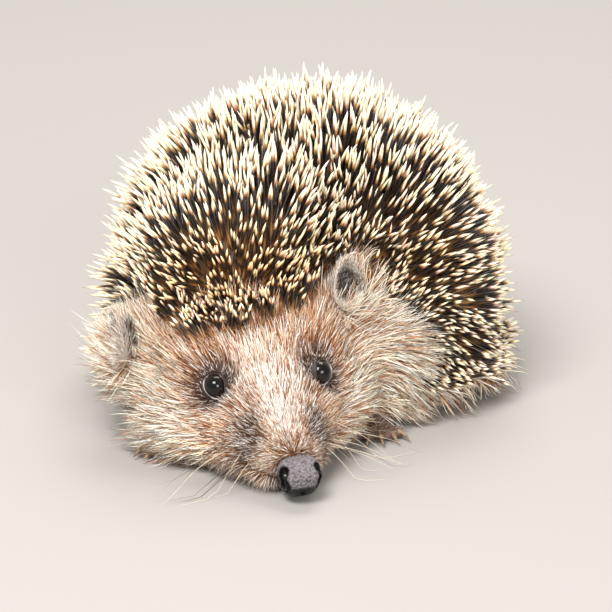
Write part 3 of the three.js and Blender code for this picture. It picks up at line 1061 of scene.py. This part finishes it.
# Painted highlight: towards the back the cream tips run further down each quill, standing in for glare.
glare_lengthened_tips = 1 - 0.34 * ramp(-quill_ahead, 24, 56)
quill_lift = rng.normal(BROW_LIFT - BACK_LIFT_LESS * behind_brow, 5, count)
lean, _ = clumps(quill_places, QUILL_CLUMPS, 0.17)
quill_headings = raised(quill_places, quill_normals, quill_lift, 0.12)
quill_headings = unit(quill_headings + lean * (1.3 - 0.5 * behind_brow)[:, None])
quill_lengths = (BROW_LENGTH + (QUILL_LENGTH - BROW_LENGTH) * behind_brow) * rng.normal(1, 0.07, count)
quill_widths = QUILL_WIDTH * rng.normal(1, 0.09, count)
quill_lengths[-SHORT_QUILLS:] *= rng.uniform(0.6, 0.95, SHORT_QUILLS)
quill_bends = 0.05 * rng.normal(size=(count, 3))
front = quill_places[:, 1] < np.median(quill_places[:, 1])
for name, half in (("quills_front", front), ("quills_rear", ~front)):
    strands(
        name,
        tuple(r[half] for r in quill_roots),
        quill_headings[half],
        quill_bends[half],
        quill_lengths[half],
        quill_widths[half],
        QUILL_PROFILE,
        QUILL_SIDES,
        lambda shares, rows, own_tone=quill_tone[half]: np.clip(own_tone[rows], 0.5, 1.25),
        quill_material,
        glare_lengthened_tips[half],
    )

# ---------------- fur
# Soft hair on the face, ears, throat, flanks, belly, legs and feet, as thin three-sided tufts. It
# starts at two millimetres behind the nose pad and grows to a dozen in the ruff and on the throat,
# with about ten on the flanks. Around the eyes it is short, so that the lids stay clear.
FUR_PROFILE = [(0, 0.7), (0.35, 1.0), (0.7, 0.75)]
SHORT_PROFILE = [(0, 0.8), (0.5, 1.0)]
SHORT = 4.2  # hair with a mean length below this has the short profile
TUFT_SIDES = 3
THINNEST = 0.06
# Painted shade between the hairs: strands darken towards their roots, warmly on pale hair.
DARK_HAIR_AND_ROOT_SHADE = np.array((0.46, 0.23, 0.11))  # what a dark hair and a dark root keep of a tone
PALE_ROOT_SHADE = np.array((0.72, 0.49, 0.33))
fur_material, fur_shader = tinted_material("soft_fur", 0.55, 0.22, 0.7 * MM, 0)
fur_shader.inputs["Specular IOR Level"].default_value = 0.18


def in_opening(places):
    """Whether a place is over an eyeball, inside the opening of its lids."""
    inside = np.zeros(len(places), bool)
    for side, middle in eye_middles.items():
        x, y, z = ((places - middle) @ np.column_stack(eye_ways(side))).T
        inside |= (z > -1) & ((x / 3.5) ** 2 + (y / 3.2) ** 2 < 1)
    return inside


def fur(
    name, parts, count, length, width, lift, scatter,
    droop=0.0, density=None, colour=coat_colour,
):
    """One piece of fur on these parts.

    length in millimetres and lift in degrees are functions of (across, ahead, up) on the head.
    """
    roots = roots_on(parts, count, density)
    places, normals, _ = roots
    gap, _ = nearest_eye(places)
    nose_gap = np.linalg.norm(places - nose_middle, axis=1)
    kept = (nose_gap > 4.6) & ~in_opening(places)
    roots = tuple(r[kept] for r in roots)
    places, normals, _ = roots
    where = on_head(places)
    count = len(places)
    lengths = length(*where) * rng.normal(1, 0.16, count)
    lengths *= 0.22 + 0.78 * ramp(gap[kept], 3.6, 8.5)
    lengths *= 0.45 + 0.55 * np.maximum(ramp(ear_gap(places), 5, 9), where[0] < 0)
    headings = raised(places, normals, lift(*where), scatter)
    lean, middles = clumps(places, max(2, int(count / 20)), 0.07)
    bends = -0.22 * normals + lean + 0.06 * rng.normal(size=(count, 3))
    bends += 0.55 * (middles - places) / lengths[:, None] * ramp(lengths, 4, 9)[:, None]
    bends[:, 2] -= droop
    widths = width * rng.normal(1, 0.18, count) * (0.6 + 0.4 * ramp(lengths, 2, 8))
    own = colour(places + 0.6 * rng.normal(size=places.shape))
    shade = rng.normal(1, 0.16, (count, 1))
    speck = rng.random(count)
    dark = speck < 0.3 - 0.08 * ramp(own.mean(axis=1), 0.6, 0.82)
    own = np.where(dark[:, None], own * DARK_HAIR_AND_ROOT_SHADE, own)
    white = speck > 0.66 + 0.14 * ramp(-where[1], 2, 10)
    own = np.where(white[:, None], own * 0.25 + WHITE * 0.75, own)

    # Painted shade: each strand is darker towards its root, for the shade between the hairs.
    root_shade = mix(DARK_HAIR_AND_ROOT_SHADE, PALE_ROOT_SHADE, ramp(own.mean(axis=1), 0.58, 0.82))

    def colours(shares, rows):
        base = own[rows] * (root_shade[rows] + (1 - root_shade[rows]) * ramp(shares, 0, 0.6)[:, None])
        pale = (0.45 * own.mean(axis=1) ** 0.5)[rows] * ramp(shares, 0.4, 1)
        return np.clip(shade[rows] * mix(base, PALE, pale), 0.004, 0.95)

    profile = SHORT_PROFILE if lengths.mean() < SHORT else FUR_PROFILE
    strands(
        name, roots, headings, bends, lengths, np.clip(widths, THINNEST, 1),
        profile, TUFT_SIDES, colours, fur_material,
    )


def face_length(across, ahead, up):
    """Hair lengths on the head in millimetres."""
    side = np.abs(across)
    short = 2.1 + 0.17 * np.maximum(24 - ahead, 0)
    ruff = np.clip(ramp(side, 14, 26) + ramp(-up, 6, 16), 0, 1) * ramp(-ahead, -8, 8)
    chin = 4 * ramp(-up, 7, 11) * ramp(24 - ahead, 0, 6)
    return short + (12.5 - short) * ruff + chin * (1 - ruff)


def face_lift(across, ahead, up):
    """Hair on the face lies flat, and the ruff stands off."""
    side = np.abs(across)
    ruff = np.clip(ramp(side, 14, 26) + ramp(-up, 8, 18), 0, 1) * ramp(-ahead, -8, 8)
    return 17 + 21 * ruff + 26 * ramp(-up, 7, 11) * (1 - ruff)


def even(value):
    """The same value everywhere on the head."""
    return lambda across, ahead, up: np.full(len(across), float(value))


def chin_length(across, ahead, up):
    """Hair under the chin hangs longer on the side that the head is turned from."""
    return 4.6 - 1.8 * ramp(across, -1, 3)


fur("fur_chin", ["lower_jaw"], 2600, chin_length, 0.15, even(52), 0.2, droop=0.3)
fur("fur_muzzle", ["muzzle"], 9000, face_length, 0.2, face_lift, 0.14, droop=0.1)
for name in ("fur_face_a", "fur_face_b", "fur_face_c"):
    fur(name, ["head", "lid"], 10800, face_length, 0.24, face_lift, 0.1, droop=0.03)


def neck_length(across, ahead, up):
    """Hair on the throat and shoulders, shorter low down on the side that the head is turned to."""
    return 12.5 - 6 * ramp(across, 6, 14) * ramp(-up, 22, 30)


fur("fur_neck", ["neck"], 12000, neck_length, 0.28, even(36), 0.13, droop=0.14)


def before_ear(places):
    """Where the long pale hair in front of the open ear grows."""
    return 1 - ramp(np.linalg.norm(places + 5 * UP - 4 * AHEAD - middle_of("ear_left"), axis=1), 3, 8)


def pale_hair(places):
    """One pale colour."""
    return np.tile(PALE, (len(places), 1))


fur(
    "fur_ear_fronts", ["head", "neck"], 450, even(13), 0.18, even(46), 0.16,
    density=before_ear, colour=pale_hair,
)


def on_brow(places):
    """Where long hair grows in between the first quills: the front edge of the crown."""
    return 1 - ramp(-on_head(places)[1], 14, 21)


def brow_colour(places):
    """One amber tan."""
    return np.tile(TAN * 0.7 + RUST * 0.3, (len(places), 1))


fur("fur_brow", ["crown"], 2600, even(8.5), 0.22, even(38), 0.14, density=on_brow, colour=brow_colour)


def hem(places):
    """Where the hair of the flanks is thick: a band below the quills, thin under the belly."""
    return 0.15 + ramp(places[:, 2], 5, 10)


fur("fur_flanks", ["belly"], 10500, even(10.5), 0.3, even(30), 0.15, droop=0.1, density=hem)
fur(
    "fur_ears", ["ear_left", "ear_right"], 6500, even(3.2), 0.12, even(16), 0.16,
    colour=ear_colour,
)
LEGS = ["foreleg_left", "foreleg_right", "hindleg_left", "hindleg_right"]


def leg_colour_and_shade(places):
    """Brown legs and feet, browner than the belly, darkened partly as painted shade under the body."""
    return np.tile(BROWN * 0.7 + TAN * 0.22, (len(places), 1))


fur("fur_legs", LEGS, 3500, even(5), 0.2, even(22), 0.12, droop=0.1, colour=leg_colour_and_shade)
fur("fur_feet", FEET + ["tail"], 2500, even(1.8), 0.14, even(16), 0.12, colour=leg_colour_and_shade)

# ---------------- whiskers
# About thirteen stiff bristles on each side of the muzzle, dark with pale points or pale all
# along, which stand out sideways and bend down towards their tips.
WHISKER_PROFILE = [
    (0, 1.0), (0.12, 0.95), (0.25, 0.88), (0.4, 0.78), (0.55, 0.66), (0.7, 0.52), (0.85, 0.36),
]
WHISKERS = 13
WHISKER_WIDTH = 0.14
WHISKER_LENGTHS = (14, 27)
WHISKER_SIDES = 6
WHISKER_FALL = np.array((0, 0.1, -0.34))


def whisker_bed(places):
    """Where the whiskers grow: the sides of the muzzle."""
    across, ahead, up = on_head(places)
    side = np.abs(across)
    along_it = ramp(ahead, 10, 12) * (1 - ramp(ahead, 19, 21))
    return ramp(side, 3.5, 5) * along_it * ramp(-up, 2, 4) * (1 - ramp(-up, 8, 10))


whisker_roots = roots_on(["muzzle", "head"], 2 * WHISKERS, whisker_bed)
whisker_places, whisker_normals, _ = whisker_roots
across, _, _ = on_head(whisker_places)
outward = np.sign(across)[:, None] * ACROSS
whisker_headings = 0.25 * whisker_normals + 0.8 * outward + 0.22 * AHEAD - 0.15 * UP
whisker_headings = unit(whisker_headings + 0.3 * rng.normal(size=whisker_places.shape))
whisker_bends = WHISKER_FALL + 0.12 * rng.normal(size=whisker_places.shape)
whisker_pale = rng.random(len(whisker_places)) < np.where(across > 0, 0.6, 0.2)


def whisker_colours(shares, rows):
    """Dark bristles with pale points, some pale all along."""
    dark = np.array((0.06, 0.035, 0.025))
    pale = np.array((0.8, 0.68, 0.52))
    share = np.clip(ramp(shares, 0.4, 1) * 0.5 + 0.9 * whisker_pale[rows], 0, 1)
    return mix(np.tile(dark, (len(shares), 1)), pale, share)


strands(
    "whiskers", whisker_roots, whisker_headings, whisker_bends,
    rng.uniform(*WHISKER_LENGTHS, len(whisker_places)),
    np.full(len(whisker_places), WHISKER_WIDTH),
    WHISKER_PROFILE, WHISKER_SIDES, whisker_colours, fur_material,
)
